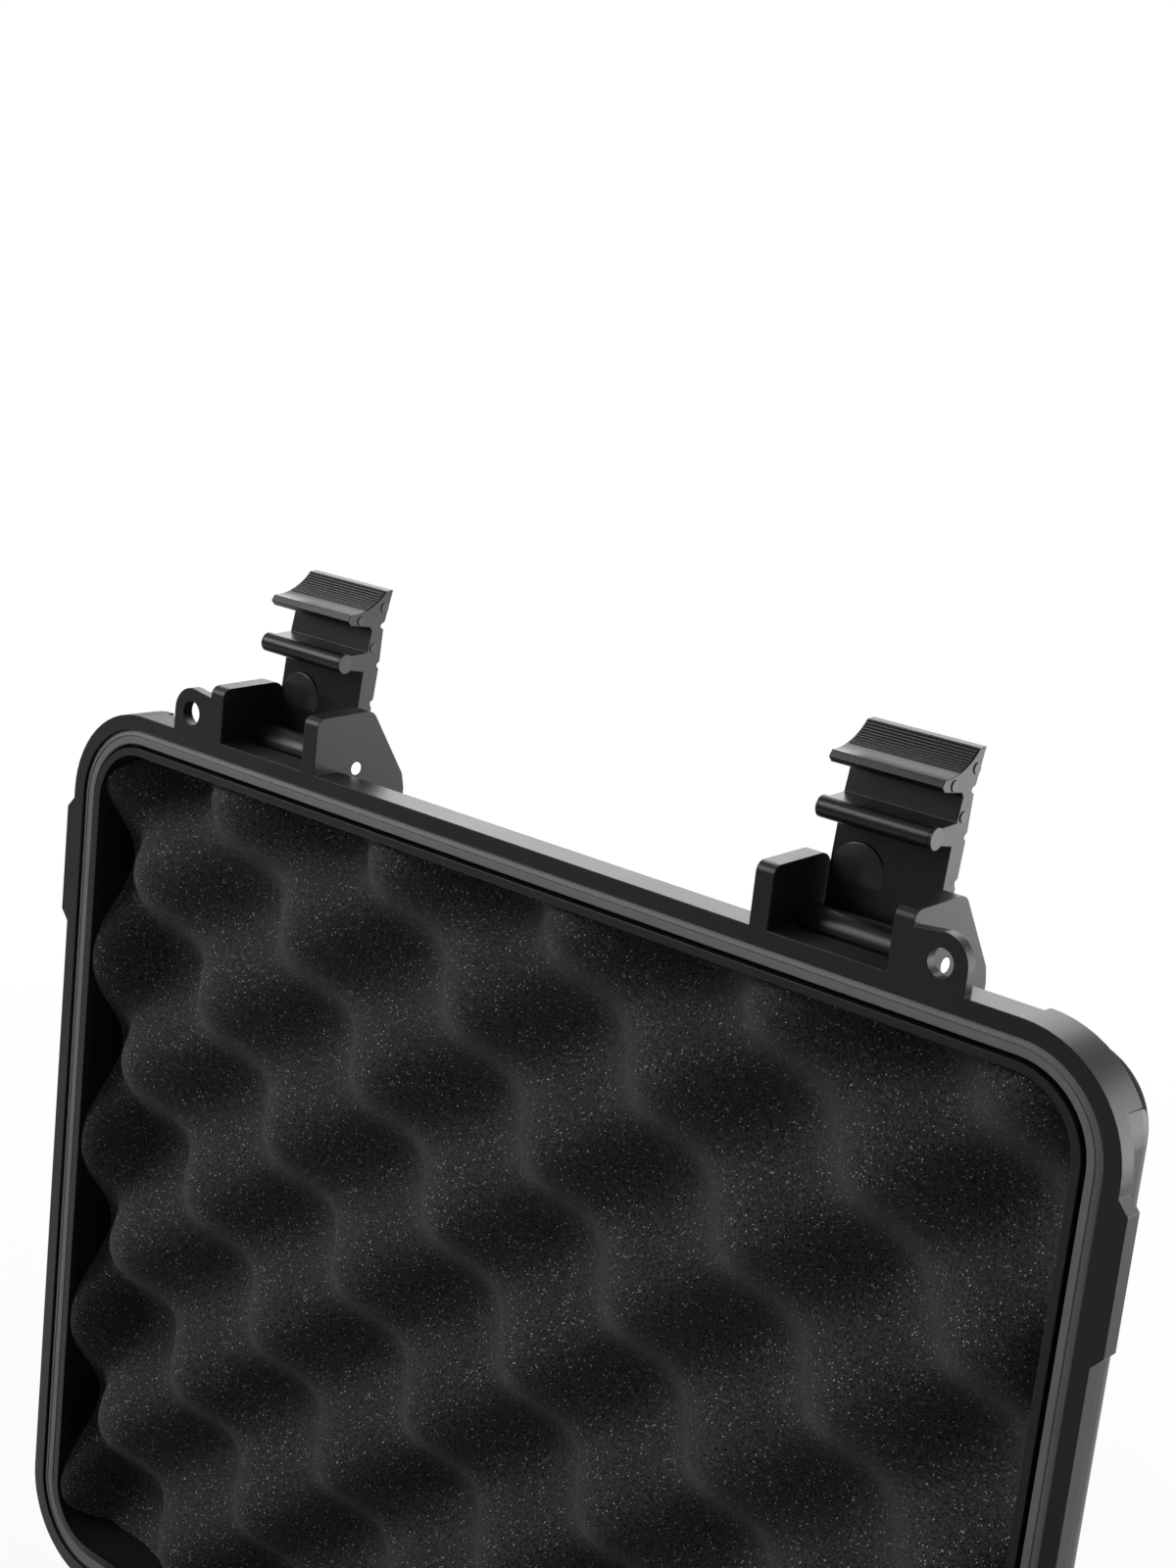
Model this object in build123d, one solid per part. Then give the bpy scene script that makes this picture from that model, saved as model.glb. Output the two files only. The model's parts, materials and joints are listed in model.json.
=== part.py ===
"""Hard plastic carrying case for a fishing magnet kit, standing open.

Millimetres, +Z up, origin at the middle of the base's underside, front of the case at -Y.
Every lid piece is drawn on the closed case and then swung open about the hinge line.
Lid sections use two local directions: v runs outwards from the rim's front edge, and w runs
from the lid's rim face towards the base, so the lid itself lies at negative w.
"""
import os
from math import cos, hypot, pi, sin, tan

from build123d import *

# Overall case
RIM_W = 340.0            # rim, left to right
RIM_D = 270.0            # rim, front to back
RIM_R = 27.6             # rim corner radius
BASE_H = 107.0           # base, floor to rim face
LID_H = 34.0             # lid, rim face to top
SEAL_GAP = 0.4           # rim faces stay this far apart on the closed case
LID_Z = BASE_H + SEAL_GAP
OPEN_ANGLE = 99.2        # lid past closed, leaning back 9.2 degrees

# Rim bands, each a distance in from the rim's outer edge
WALL_IN = 8.0            # outer wall below the flange
GROOVE_IN = 4.1          # gasket groove, outer side
GROOVE_END = 9.3         # gasket groove, inner side
MOUTH_IN = 11.4          # inner opening of the lid
BASE_MOUTH_IN = 13.0     # inner opening of the base
WALL_T = 3.2
FLANGE_T = 5.0
SKIRT_T = 9.0            # flange depth along the lid's front
BASE_SKIRT_T = 8.4       # the same on the base, so that the latch bars pass below it
CORNER_T = 11.5          # flange depth on the front corners
SKIRT_BACK = 14.0        # how far round the corners the skirt runs
GROOVE_DEPTH = 3.2
TONGUE_IN = 5.5
TONGUE_END = 7.3
TONGUE_H = 0.45
SEAL_TOP = 0.3           # seal, below the lid's rim face
SEAL_W = 4.1
DRAFT = 1.5              # degrees, on the outer walls
PAD_OUT = 2.7            # raised pads on the flange's short sides
PAD_START = 30.0
PAD_END = 67.0
PAD_SLOPE = 3.0
TOP_R = 9.0              # lid's top edge
FOOT_R = 9.0             # base's bottom edge
INNER_BEVEL = 5.0        # inside corners between walls and floor

# Latches, brackets and padlock ears
LATCH_X = 92.75          # latch centres, left and right
LATCH_W = 30.0
BRACKET_IN = 16.1        # bracket plates, from the latch's centre
BRACKET_OUT = 21.1
PIVOT_V = 0.3
PIVOT_W = -15.0
PIN_R = 1.75
RUN_GAP = 0.05           # radial clearance of every turning pin
BAR_R = 2.6
BAR_LEN = 29.4
BAR_V = 27.0             # bar centre, from the pivot
BAR_W = 1.3
EAR_X = 121.5
EAR_V = 5.7
EAR_R = 6.8
EAR_T = 3.0
EYE_R = 3.3

# Hinge line
HINGE_Y = RIM_D / 2 + 6.0
HINGE_Z = LID_Z - 4.0
HINGE_X = 95.0
HINGE_R = 5.5
HINGE_PIN_R = 2.0
KNUCKLE_W = 18.0
EAR_GAP = 0.5
LID_EAR_W = 9.0

# Carrying handle
HANDLE_X = 58.0
HANDLE_ARM_T = 8.0
HANDLE_ARM_R = 6.0
HANDLE_DROP = 52.0
HANDLE_W = 19.0          # pivot, below the lid's rim face
LUG_T = 6.0
LUG_GAP = 0.6
CORE_H = 9.0
CORE_T = 7.0
GRIP_LEN = 92.0
GRIP_H = 20.0
GRIP_T = 14.0
HANDLE_PIN_R = 2.5

# Pressure valve in the right-hand wall
VALVE_Z = 70.0
VALVE_FACE_X = 163.2
VALVE_IN_X = 155.6
VALVE_STEM_R = 7.9
VALVE_FLANGE_R = 13.0
VALVE_FLANGE_T = 2.4
VALVE_SEAL_T = 1.2
VALVE_SEAL_R = 11.2
VALVE_HUB_R = 5.0
VALVE_HUB_L = 2.4
KNOB_R = 9.5
KNOB_T = 4.2
KNOB_FLUTES = 6

# Foams
FOAM_PITCH_U = 62.1      # peak to peak along a row of the egg-crate foam
FOAM_PITCH_V = 57.0
FOAM_MID_W = -11.9
FOAM_AMP = 11.3
FOAM_PEAK_U = -107.4
FOAM_PEAK_V = -17.6
FOAM_STEP = 9.4
FOAM_BACK_W = -30.5
FOAM_HEEL_W = -24.5      # below this the block's edge is cut back, clear of the lid's inner bevel
FOAM_HEEL_IN = 6.5
INSERT_TOP = 99.0
INSERT_BOTTOM = 12.4
MAGNET_R = 58.0
MAGNET_X = -88.0
MAGNET_Y = -34.0
MAGNET_DEPTH = 62.0
ROPE_W = 116.0
ROPE_D = 200.0
ROPE_X = 82.0
ROPE_DEPTH = 72.0
HOOK_W = 118.0
HOOK_D = 46.0
HOOK_Y = 78.0
HOOK_DEPTH = 45.0
POCKET_R = 14.0
NOTCH_R = 13.0


def rim(inset):
    """The case's outline, a rounded rectangle, drawn in by some distance."""
    return RectangleRounded(RIM_W - 2 * inset, RIM_D - 2 * inset, RIM_R - inset)


def slab(outline, z_low, z_high):
    return extrude(Plane.XY.offset(z_low) * outline, z_high - z_low)


def tapered_up(inset, height):
    return extrude(Plane.XY.offset(LID_Z) * rim(inset), height, taper=DRAFT)


def tapered_down(inset, z_top, depth):
    return extrude(Plane.XY.offset(z_top) * rim(inset), depth, dir=(0, 0, -1), taper=DRAFT)


def end_edges(shape, end):
    """Edges of the lowest face (0) or of the highest one (-1)."""
    return shape.faces().sort_by(Axis.Z)[end].edges()


def block(x0, x1, y0, y1, z0, z1):
    size = Box(x1 - x0, y1 - y0, z1 - z0, align=(Align.MIN, Align.MIN, Align.MIN))
    return Pos(x0, y0, z0) * size


def front_plane(x):
    """A section plane whose own axes are v and w, facing +X."""
    return Plane(origin=(x, -RIM_D / 2, LID_Z), x_dir=(0, -1, 0), z_dir=(1, 0, 0))


def profile(points, rounds=None):
    """A closed outline, with some of its corners rounded."""
    face = make_face(Polyline(*points, close=True))
    for (px, py), radius in (rounds or {}).items():
        corner = face.vertices().sort_by_distance((px, py, 0))[0]
        face = fillet(corner, radius)
    return face


def front_plate(points, x0, x1, rounds=None):
    return extrude(front_plane(x0) * profile(points, rounds), x1 - x0)


def side_plate(points, x0, x1, rounds=None):
    """A plate drawn in Y and Z and running from x0 to x1."""
    return extrude(Plane.YZ.offset(x0) * profile(points, rounds), x1 - x0)


def rod_x(x0, x1, y, z, radius):
    return extrude(Plane.YZ.offset(x0) * Pos(y, z) * Circle(radius), x1 - x0)


def swing_open(shape):
    return shape.rotate(Axis((0, HINGE_Y, HINGE_Z), (1, 0, 0)), -OPEN_ANGLE)


def side_pads(z0, z1):
    """Raised pads on the flange's two short sides, with sloping ends."""
    near = -RIM_D / 2 + PAD_START
    far = -RIM_D / 2 + PAD_END
    edge = RIM_W / 2
    pads = []
    for side in (-1, 1):
        points = [
            (side * (edge - 1), near),
            (side * edge, near),
            (side * (edge + PAD_OUT), near + PAD_SLOPE),
            (side * (edge + PAD_OUT), far - PAD_SLOPE),
            (side * edge, far),
            (side * (edge - 1), far),
        ]
        pads.append(slab(make_face(Polyline(*points, close=True)), z0, z1))
    return pads


def flange_band(z_face, direction, skirt_depth):
    """Rim flange, with a deeper skirt along the front and deeper corners still."""
    def deep(depth):
        low = min(z_face, z_face + direction * depth)
        return slab(rim(0), low, low + depth)

    front = -RIM_D / 2
    half = RIM_W / 2
    skirt_zone = block(-half, half, front, front + SKIRT_BACK, -20, 200)
    corner_x = half - RIM_R
    corners = block(-half, -corner_x, front, front + SKIRT_BACK, -20, 200)
    corners += block(corner_x, half, front, front + SKIRT_BACK, -20, 200)
    band = deep(FLANGE_T) + (deep(skirt_depth) & skirt_zone) + (deep(CORNER_T) & corners)
    low = min(z_face, z_face + direction * FLANGE_T)
    for pad in side_pads(low, low + FLANGE_T):
        band += pad
    return band


def padlock_ears(w_face, direction):
    """Flat eyes level with the rim face, one outside each bracket."""
    ears = []
    bottom = -2.0
    for side in (-1, 1):
        inner = side * (LATCH_X + BRACKET_OUT - 0.5)
        outer = side * (EAR_X + EAR_R)
        outline = make_face(Polyline(
            (inner, bottom), (outer, bottom), (outer, EAR_V),
            (side * EAR_X, EAR_V + EAR_R), (inner, EAR_V + EAR_R - 1.0), close=True))
        outline += Pos(side * EAR_X, EAR_V) * Circle(EAR_R)
        outline -= Pos(side * EAR_X, EAR_V) * Circle(EYE_R)
        seat = Plane(origin=(0, -RIM_D / 2, LID_Z - w_face), x_dir=(1, 0, 0), z_dir=(0, 0, direction))
        if direction > 0:
            outline = mirror(outline, Plane.XZ)
        ears.append(extrude(seat * outline, EAR_T))
    return ears


def latch_brackets():
    """Two pairs of plates that carry the latches, with the pivot pin's holes."""
    points = [
        (-9.0, 0.0), (14.8, 0.0), (15.6, -19.7), (-2.9, -32.4), (-6.9, -33.4), (-12.0, -33.4),
        (-12.0, -4.0), (-9.0, -4.0),
    ]
    rounds = {(14.8, 0.0): 2.5, (15.6, -19.7): 4.0, (-2.9, -32.4): 3.0}
    plates = []
    for centre in (-LATCH_X, LATCH_X):
        for side in (-1, 1):
            x0 = centre + min(side * BRACKET_IN, side * BRACKET_OUT)
            plates.append(front_plate(points, x0, x0 + BRACKET_OUT - BRACKET_IN, rounds))
    return plates


def pivot_hole(centre, radius):
    reach = BRACKET_OUT + 2
    y = -RIM_D / 2 - PIVOT_V
    z = LID_Z - PIVOT_W
    return rod_x(centre - reach, centre + reach, y, z, radius)


def lid_hinge_ears():
    ears = []
    y0 = RIM_D / 2
    flat = HINGE_R * tan(pi / 8)
    points = [
        (y0 - 6, LID_Z), (y0 - 6, LID_Z + 9), (y0 + 2, LID_Z + 9), (HINGE_Y + HINGE_R, HINGE_Z + flat),
        (HINGE_Y + HINGE_R, HINGE_Z - flat), (HINGE_Y + flat, HINGE_Z - HINGE_R),
        (HINGE_Y - flat, HINGE_Z - HINGE_R), (HINGE_Y - HINGE_R, HINGE_Z - flat),
        (HINGE_Y - HINGE_R, HINGE_Z), (y0 + 0.5, LID_Z),
    ]
    for centre in (-HINGE_X, HINGE_X):
        for side in (-1, 1):
            near = centre + side * (KNUCKLE_W / 2 + EAR_GAP)
            x0 = min(near, near + side * LID_EAR_W)
            ear = side_plate(points, x0, x0 + LID_EAR_W, {(y0 + 2, LID_Z + 9): 4.0})
            ear -= rod_x(x0 - 1, x0 + LID_EAR_W + 1, HINGE_Y, HINGE_Z, HINGE_PIN_R + RUN_GAP)
            ears.append(ear)
    return ears


def lid_shell():
    """Lid: tapered shell, rim flange with gasket groove, brackets, ears and hinge ears."""
    body = tapered_up(WALL_IN, LID_H)
    body = fillet(end_edges(body, -1), TOP_R)
    body += flange_band(LID_Z, 1, SKIRT_T)
    for plate in latch_brackets():
        body += plate
    for ear in padlock_ears(0.0, 1):
        body += ear
    for ear in lid_hinge_ears():
        body += ear
    rib_reach = 116.0
    for y in (-75.0, -25.0, 25.0, 75.0):
        rib = block(-rib_reach, rib_reach, y - 4, y + 4, LID_Z + LID_H - 2, LID_Z + LID_H + 1.6)
        body += chamfer(rib.edges().filter_by(Axis.Z), 2.5)
    cavity = slab(rim(MOUTH_IN), LID_Z - 1, LID_Z + LID_H - WALL_T)
    body -= chamfer(end_edges(cavity, -1), INNER_BEVEL)
    body -= slab(rim(GROOVE_IN) - rim(GROOVE_END), LID_Z - 1, LID_Z + GROOVE_DEPTH)
    for centre in (-LATCH_X, LATCH_X):
        body -= pivot_hole(centre, PIN_R)
    return body


def lid_gasket():
    """Rubber ring in the lid's groove, a little below the rim face."""
    outer = GROOVE_IN + 0.1
    return slab(rim(outer) - rim(outer + SEAL_W), LID_Z + SEAL_TOP, LID_Z + GROOVE_DEPTH)


def rounded_place(u, v, half_u, half_v, radius):
    """Moves a point of a plain rectangle onto the rounded rectangle."""
    pu = abs(u) - (half_u - radius)
    pv = abs(v) - (half_v - radius)
    if pu <= 0 or pv <= 0:
        return u, v
    shrink = max(pu, pv) / hypot(pu, pv)
    new_u = half_u - radius + pu * shrink
    new_v = half_v - radius + pv * shrink
    return (new_u if u > 0 else -new_u), (new_v if v > 0 else -new_v)


def crate_height(u, v):
    """The egg-crate surface: peaks and hollows in a chequered pattern."""
    wave_u = cos(2 * pi * (u - FOAM_PEAK_U) / FOAM_PITCH_U)
    wave_v = cos(2 * pi * (v - FOAM_PEAK_V) / FOAM_PITCH_V)
    return FOAM_MID_W + FOAM_AMP * wave_u * wave_v


def lid_foam():
    """Egg-crate foam filling the lid."""
    inset = MOUTH_IN + 1.8
    half_u = RIM_W / 2 - inset
    half_v = RIM_D / 2 - inset
    radius = RIM_R - inset
    count_u = round(2 * half_u / FOAM_STEP)
    count_v = round(2 * half_v / FOAM_STEP)
    top = {}
    for i in range(count_u + 1):
        for j in range(count_v + 1):
            u = -half_u + 2 * half_u * i / count_u
            y = -half_v + 2 * half_v * j / count_v
            u, y = rounded_place(u, y, half_u, half_v, radius)
            w = crate_height(u, -(y + RIM_D / 2))
            top[i, j] = (u, y, LID_Z - w)
    back_z = LID_Z - FOAM_BACK_W
    faces = []
    for i in range(count_u):
        for j in range(count_v):
            a, b = top[i, j], top[i + 1, j]
            c, d = top[i + 1, j + 1], top[i, j + 1]
            for corners in ((a, b, c), (a, c, d)):
                faces.append(Face(Wire.make_polygon(corners)))
    loop = [top[i, 0] for i in range(count_u)]
    loop += [top[count_u, j] for j in range(count_v)]
    loop += [top[i, count_v] for i in range(count_u, 0, -1)]
    loop += [top[0, j] for j in range(count_v, 0, -1)]
    heel_loop = [(x, y, LID_Z - FOAM_HEEL_W) for x, y, z in loop]
    shrink_u = 1 - FOAM_HEEL_IN / half_u
    shrink_v = 1 - FOAM_HEEL_IN / half_v
    floor_loop = [(x * shrink_u, y * shrink_v, back_z) for x, y, z in loop]
    faces.append(Face(Wire.make_polygon(floor_loop)))
    for k in range(len(loop)):
        n = (k + 1) % len(loop)
        faces.append(Face(Wire.make_polygon([loop[k], loop[n], heel_loop[n], heel_loop[k]])))
        faces.append(Face(Wire.make_polygon([heel_loop[k], heel_loop[n], floor_loop[n]])))
        faces.append(Face(Wire.make_polygon([heel_loop[k], floor_loop[n], floor_loop[k]])))
    return Solid(Shell(faces))


def latch(centre):
    """One moulded latch: barrel, stem, hook bar on its web, and a dished thumb lip."""
    seat = front_plane(centre - LATCH_W / 2)
    with BuildSketch() as outline:
        with BuildLine():
            Polyline((46.3, -29.0), (37.9, -26.9), (37.2, -25.6), (36.4, -25.6), (35.8, -26.6),
                     (27.2, -26.2), (26.5, -25.3), (25.8, -25.3), (25.2, -26.0), (16.9, -25.1),
                     (16.2, -24.1), (15.4, -24.1), (14.6, -24.6), (2.0, -23.6), (-2.6, -21.4),
                     (-3.4, -17.5), (PIVOT_V, PIVOT_W), (1.5, -19.3), (15.0, -19.6),
                     (24.6, -20.5), (25.4, -15.4), (25.4, -13.7), (29.2, -13.7), (29.4, -15.4),
                     (29.8, -21.3), (35.6, -22.4), (36.6, -21.6), (37.4, -14.6), (38.7, -13.4),
                     (40.2, -14.4))
            ThreePointArc((40.2, -14.4), (41.9, -21.6), (45.9, -26.6))
            Line((45.9, -26.6), (46.3, -29.0))
        make_face()
    solid = extrude(seat * outline.sketch, LATCH_W)
    y = -RIM_D / 2 - PIVOT_V
    z = LID_Z - PIVOT_W
    solid += rod_x(centre - LATCH_W / 2, centre + LATCH_W / 2, y, z, 4.6)
    bar_y = -RIM_D / 2 - PIVOT_V - BAR_V
    bar_z = LID_Z - PIVOT_W - BAR_W
    solid += rod_x(centre - BAR_LEN / 2, centre + BAR_LEN / 2, bar_y, bar_z, BAR_R)
    solid -= pivot_hole(centre, PIN_R + RUN_GAP)
    return solid


def latch_pin(centre):
    y = -RIM_D / 2 - PIVOT_V
    z = LID_Z - PIVOT_W
    return rod_x(centre - BRACKET_OUT, centre + BRACKET_OUT, y, z, PIN_R)


def base_guards():
    """Plates on the base's front that flank each closed latch."""
    points = [(-9.5, 0.4), (12.0, 0.4), (12.0, 12.0), (-3.0, 31.0), (-11.5, 34.0), (-11.5, 4.0),
              (-9.5, 4.0)]
    rounds = {(12.0, 12.0): 4.0}
    plates = []
    for centre in (-LATCH_X, LATCH_X):
        for side in (-1, 1):
            x0 = centre + min(side * BRACKET_IN, side * BRACKET_OUT)
            plates.append(front_plate(points, x0, x0 + BRACKET_OUT - BRACKET_IN, rounds))
    return plates


def handle_lugs():
    points = [(-11.5, 5.0), (3.0, 5.0), (7.5, 12.0), (7.5, 22.0), (2.0, 27.0), (-11.5, 36.0)]
    rounds = {(7.5, 22.0): 4.0, (7.5, 12.0): 4.0}
    lugs = []
    for side in (-1, 1):
        near = side * (HANDLE_X + LUG_GAP)
        x0 = min(near, near + side * LUG_T)
        lug = front_plate(points, x0, x0 + LUG_T, rounds)
        y = -RIM_D / 2
        z = LID_Z - HANDLE_W
        lug -= rod_x(x0 - 1, x0 + LUG_T + 1, y, z, HANDLE_PIN_R)
        lugs.append(lug)
    return lugs


def base_hinge_knuckles():
    y0 = RIM_D / 2
    wall = y0 - WALL_IN - 2
    flat = HINGE_R * tan(pi / 8)
    knuckle_points = [
        (wall, BASE_H), (y0 + 2.3, BASE_H), (HINGE_Y - flat, HINGE_Z + HINGE_R),
        (HINGE_Y + flat, HINGE_Z + HINGE_R), (HINGE_Y + HINGE_R, HINGE_Z + flat),
        (HINGE_Y + HINGE_R, HINGE_Z - flat), (HINGE_Y + 3.5, HINGE_Z - 5.0), (wall, HINGE_Z - 22),
    ]
    stop_points = [(wall, HINGE_Z - 7), (HINGE_Y + 1, HINGE_Z - 7), (HINGE_Y + 1, HINGE_Z - 10),
                   (wall, HINGE_Z - 22)]
    out = []
    for centre in (-HINGE_X, HINGE_X):
        x0 = centre - KNUCKLE_W / 2
        knuckle = side_plate(knuckle_points, x0, x0 + KNUCKLE_W)
        knuckle -= rod_x(x0 - 1, x0 + KNUCKLE_W + 1, HINGE_Y, HINGE_Z, HINGE_PIN_R)
        out.append(knuckle)
        for side in (-1, 1):
            middle = centre + side * (KNUCKLE_W / 2 + EAR_GAP + LID_EAR_W / 2)
            out.append(side_plate(stop_points, middle - 2, middle + 2))
    return out


def wall_gussets():
    """Thin ribs that stiffen the flange along the sides and the back."""
    ribs = []
    for y in (-75.0, -35.0, 35.0, 75.0):
        for side in (-1, 1):
            edge = side * (RIM_W / 2)
            points = [(edge - side * 1.5, BASE_H - 4), (edge - side * (WALL_IN + 3), BASE_H - 4),
                      (edge - side * (WALL_IN + 5), BASE_H - 66), (edge - side * (WALL_IN - 1.0), BASE_H - 60),
                      (edge - side * (WALL_IN - 2.5), BASE_H - 16)]
            plane = Plane(origin=(0, y + 2, 0), x_dir=(1, 0, 0), z_dir=(0, -1, 0))
            ribs.append(extrude(plane * make_face(Polyline(*points, close=True)), 4.0))
    for x in (-145.0, -48.0, 48.0, 145.0):
        back = RIM_D / 2
        points = [(back - 1.5, BASE_H - 4), (back - WALL_IN - 3, BASE_H - 4), (back - WALL_IN - 5, BASE_H - 66),
                  (back - WALL_IN + 1.0, BASE_H - 60), (back - WALL_IN + 2.5, BASE_H - 16)]
        ribs.append(side_plate(points, x - 2, x + 2))
    return ribs


def base_shell():
    """Base: tapered shell with flange, sealing tongue, guards, lugs, knuckles and feet."""
    body = tapered_down(WALL_IN, BASE_H, BASE_H)
    body = fillet(end_edges(body, 0), FOOT_R)
    body += flange_band(BASE_H, -1, BASE_SKIRT_T)
    body += slab(rim(TONGUE_IN) - rim(TONGUE_END), BASE_H - 1, BASE_H + TONGUE_H)
    for piece in base_guards() + padlock_ears(SEAL_GAP, -1) + handle_lugs():
        body += piece
    for piece in base_hinge_knuckles() + wall_gussets():
        body += piece
    body += rod_x(VALVE_IN_X + 1, VALVE_FACE_X, 0, VALVE_Z, 15.0)
    cavity = slab(rim(BASE_MOUTH_IN), WALL_T, BASE_H + 2)
    body -= chamfer(end_edges(cavity, 0), INNER_BEVEL)
    body += rod_x(VALVE_IN_X, VALVE_FACE_X - 1, 0, VALVE_Z, 15.0)
    body -= rod_x(VALVE_IN_X - 1, VALVE_FACE_X + 1, 0, VALVE_Z, VALVE_STEM_R)
    for x in (-78.0, 78.0):
        body -= block(x - 52, x + 52, -88, 88, -1, 1.4)
    return body


def base_floor_pad():
    return slab(rim(MOUTH_IN + 8), WALL_T + 0.2, INSERT_BOTTOM - 0.4)


def base_insert():
    """Foam block with pockets for the magnet, the rope and the small tools."""
    insert = slab(rim(BASE_MOUTH_IN + 0.5), INSERT_BOTTOM, INSERT_TOP)
    insert -= Pos(MAGNET_X, MAGNET_Y, INSERT_TOP - MAGNET_DEPTH) * Cylinder(
        MAGNET_R, 100, align=(Align.CENTER, Align.CENTER, Align.MIN))
    for side in (-1, 1):
        insert -= Pos(MAGNET_X + side * MAGNET_R, MAGNET_Y, INSERT_TOP - MAGNET_DEPTH + 20) * Cylinder(
            NOTCH_R, 100, align=(Align.CENTER, Align.CENTER, Align.MIN))
    rope = RectangleRounded(ROPE_W, ROPE_D, POCKET_R)
    insert -= Pos(ROPE_X, 0, INSERT_TOP - ROPE_DEPTH) * extrude(rope, 100)
    hook = RectangleRounded(HOOK_W, HOOK_D, POCKET_R)
    insert -= Pos(MAGNET_X, HOOK_Y, INSERT_TOP - HOOK_DEPTH) * extrude(hook, 100)
    insert -= rod_x(VALVE_IN_X - 12, 200, 0, VALVE_Z, 17.0)
    return insert


def hinge_pin(centre):
    reach = KNUCKLE_W / 2 + EAR_GAP + LID_EAR_W
    return rod_x(centre - reach, centre + reach, HINGE_Y, HINGE_Z, HINGE_PIN_R)


def carry_handle():
    """Rigid U of the handle, hanging down the front."""
    y = -RIM_D / 2
    z = LID_Z - HANDLE_W
    core = None
    for side in (-1, 1):
        x0 = min(side * HANDLE_X, side * (HANDLE_X - HANDLE_ARM_T))
        arm = rod_x(x0, x0 + HANDLE_ARM_T, y, z, HANDLE_ARM_R)
        arm += rod_x(x0, x0 + HANDLE_ARM_T, y, z - HANDLE_DROP, HANDLE_ARM_R)
        arm += block(x0, x0 + HANDLE_ARM_T, y - HANDLE_ARM_R, y + HANDLE_ARM_R, z - HANDLE_DROP, z)
        arm -= rod_x(x0 - 1, x0 + HANDLE_ARM_T + 1, y, z, HANDLE_PIN_R + RUN_GAP)
        core = arm if core is None else core + arm
    bar = block(-HANDLE_X + 2, HANDLE_X - 2, y - CORE_T / 2, y + CORE_T / 2,
                z - HANDLE_DROP - CORE_H / 2, z - HANDLE_DROP + CORE_H / 2)
    return core + bar


def handle_grip():
    """Soft sleeve around the handle's bar."""
    y = -RIM_D / 2
    z = LID_Z - HANDLE_W - HANDLE_DROP
    section = RectangleRounded(GRIP_T, GRIP_H, GRIP_T / 2 - 0.5) - Rectangle(CORE_T, CORE_H)
    return extrude(Plane.YZ.offset(-GRIP_LEN / 2) * Pos(y, z) * section, GRIP_LEN)


def handle_pin(side):
    """Pin through a lug and an arm."""
    inner = side * (HANDLE_X - HANDLE_ARM_T)
    outer = side * (HANDLE_X + LUG_GAP + LUG_T)
    return rod_x(min(inner, outer), max(inner, outer), -RIM_D / 2, LID_Z - HANDLE_W, HANDLE_PIN_R)


def valve_rod(x0, x1, radius):
    return rod_x(x0, x1, 0, VALVE_Z, radius)


def valve_body():
    """Valve through the wall: stem, flange over its seal, and a hub for the knob."""
    flange_end = VALVE_FACE_X + VALVE_FLANGE_T
    body = valve_rod(VALVE_IN_X - 6, flange_end, VALVE_STEM_R)
    body += valve_rod(VALVE_FACE_X + VALVE_SEAL_T, flange_end, VALVE_FLANGE_R)
    body += valve_rod(flange_end, flange_end + VALVE_HUB_L, VALVE_HUB_R)
    return body


def valve_o_ring():
    seal_end = VALVE_FACE_X + VALVE_SEAL_T
    ring = valve_rod(VALVE_FACE_X, seal_end, VALVE_SEAL_R)
    return ring - valve_rod(VALVE_FACE_X, seal_end, VALVE_STEM_R)


def valve_nut():
    plane = Plane.YZ.offset(VALVE_IN_X - 4.5)
    nut = extrude(plane * Pos(0, VALVE_Z) * RegularPolygon(12.5, 6), 4.5)
    return nut - valve_rod(VALVE_IN_X - 6, VALVE_IN_X + 1, VALVE_STEM_R)


def valve_knob():
    """Fluted knob over the valve's hub."""
    x0 = VALVE_FACE_X + VALVE_FLANGE_T + 0.2
    knob = valve_rod(x0, x0 + KNOB_T, KNOB_R)
    for k in range(KNOB_FLUTES):
        angle = 2 * pi * k / KNOB_FLUTES
        reach = KNOB_R + 0.7
        y = reach * cos(angle)
        z = VALVE_Z + reach * sin(angle)
        knob -= rod_x(x0 - 1, x0 + KNOB_T + 1, y, z, 1.6)
    return knob - valve_rod(x0 - 1, x0 + VALVE_HUB_L, VALVE_HUB_R + RUN_GAP)


def main():
    os.makedirs("parts", exist_ok=True)
    lid_pieces = {
        "lid_shell": lid_shell(),
        "lid_gasket": lid_gasket(),
        "lid_foam": lid_foam(),
        "latch_left": latch(-LATCH_X),
        "latch_right": latch(LATCH_X),
        "latch_pin_left": latch_pin(-LATCH_X),
        "latch_pin_right": latch_pin(LATCH_X),
    }
    pieces = {name: swing_open(shape) for name, shape in lid_pieces.items()}
    pieces.update({
        "base_shell": base_shell(),
        "base_foam_insert": base_insert(),
        "base_floor_pad": base_floor_pad(),
        "hinge_pin_left": hinge_pin(-HINGE_X),
        "hinge_pin_right": hinge_pin(HINGE_X),
        "carry_handle": carry_handle(),
        "handle_grip": handle_grip(),
        "handle_pin_left": handle_pin(-1),
        "handle_pin_right": handle_pin(1),
        "valve_body": valve_body(),
        "valve_o_ring": valve_o_ring(),
        "valve_nut": valve_nut(),
        "valve_knob": valve_knob(),
    })
    for name, shape in pieces.items():
        export_step(shape, f"parts/{name}.step")


main()
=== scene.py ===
"""Looks of an open hard case for a fishing magnet kit: black mouldings, grey seal, charcoal foams."""

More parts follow.
